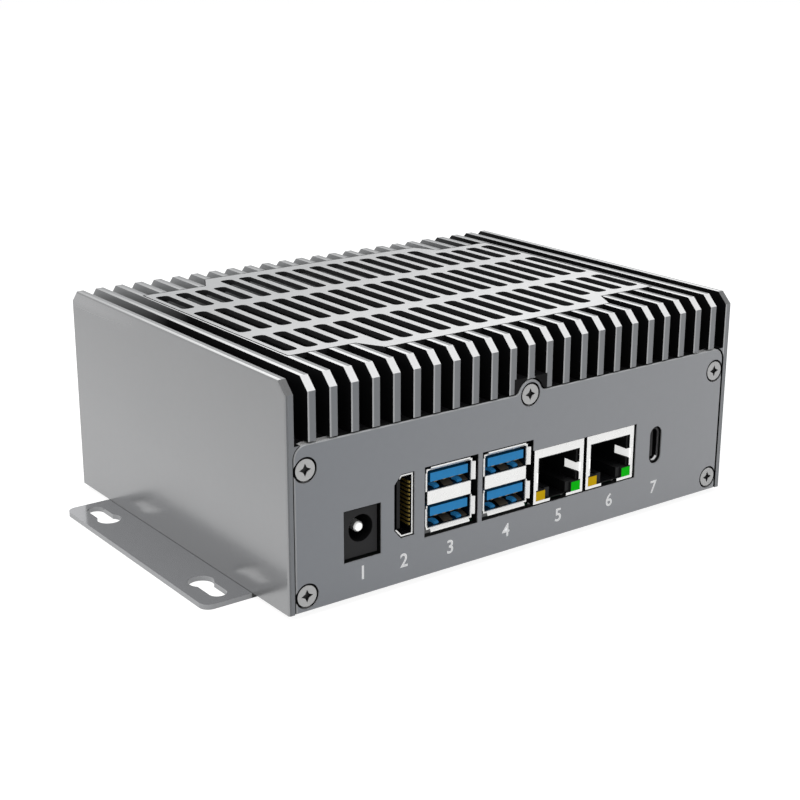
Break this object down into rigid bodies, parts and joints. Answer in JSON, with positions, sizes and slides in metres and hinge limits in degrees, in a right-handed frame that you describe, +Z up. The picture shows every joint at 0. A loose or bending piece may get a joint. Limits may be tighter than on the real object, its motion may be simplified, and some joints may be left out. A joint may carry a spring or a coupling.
{
  "type": "fanless edge computer",
  "caption": "Fanless box computer in a finned aluminium case with a slotted top plate, a front panel of sockets and two flat mounting ears with keyholes.",
  "frame": {"origin": "middle of the footprint, on the plane of the mounting ears' undersides", "axes": "+X across the front towards the oval socket, -Y out of the socket side, +Z up"},
  "size_m": [0.1582, 0.101, 0.0536],
  "materials": {
    "case_aluminium": "fine blasted and clear anodised",
    "cover_aluminium": "fine blasted and clear anodised",
    "panel_finish": "smooth satin grey",
    "ear_steel": "satin sheet metal",
    "screw_steel": "plated steel",
    "socket_metal": "bright nickel plate",
    "dark_metal": "dark nickel plate",
    "black_plastic": "moulded",
    "blue_plastic": "moulded",
    "contact_gold": "gold plate",
    "amber_lens": "clear coloured lens",
    "green_lens": "clear coloured lens",
    "board_green": "coated circuit board",
    "pad_grey": "soft thermal pad"
  },
  "bodies": {
    "root": {"finned_housing": "case_aluminium", "slotted_top_cover": "cover_aluminium", "front_panel": "panel_finish", "rear_panel": "panel_finish", "bottom_cover": "cover_aluminium", "mounting_ear_left": "ear_steel", "mounting_ear_right": "ear_steel", "front_panel_screws": "screw_steel", "rear_panel_screws": "screw_steel", "ear_screws": "screw_steel", "cover_screws": "screw_steel", "main_board": "board_green", "board_screws": "screw_steel", "power_jack_body": "black_plastic", "power_jack_pin": "socket_metal", "video_socket_shell": "socket_metal", "video_socket_core": "black_plastic", "video_socket_contacts": "contact_gold", "data_socket_shells": "socket_metal", "data_socket_tongues": "blue_plastic", "data_socket_contacts": "contact_gold", "network_socket_shells": "socket_metal", "network_socket_cores": "black_plastic", "network_lamps_amber": "amber_lens", "network_lamps_green": "green_lens", "oval_socket_shell": "dark_metal", "oval_socket_tongue": "black_plastic", "module_socket": "black_plastic", "module_posts": "socket_metal", "compute_module": "board_green", "processor_chip": "dark_metal", "memory_chips": "black_plastic", "thermal_pads": "pad_grey", "heat_block": "cover_aluminium", "storage_socket": "black_plastic", "storage_card": "board_green", "power_coils": "black_plastic", "capacitors": "socket_metal"}
  },
  "joints": []
}
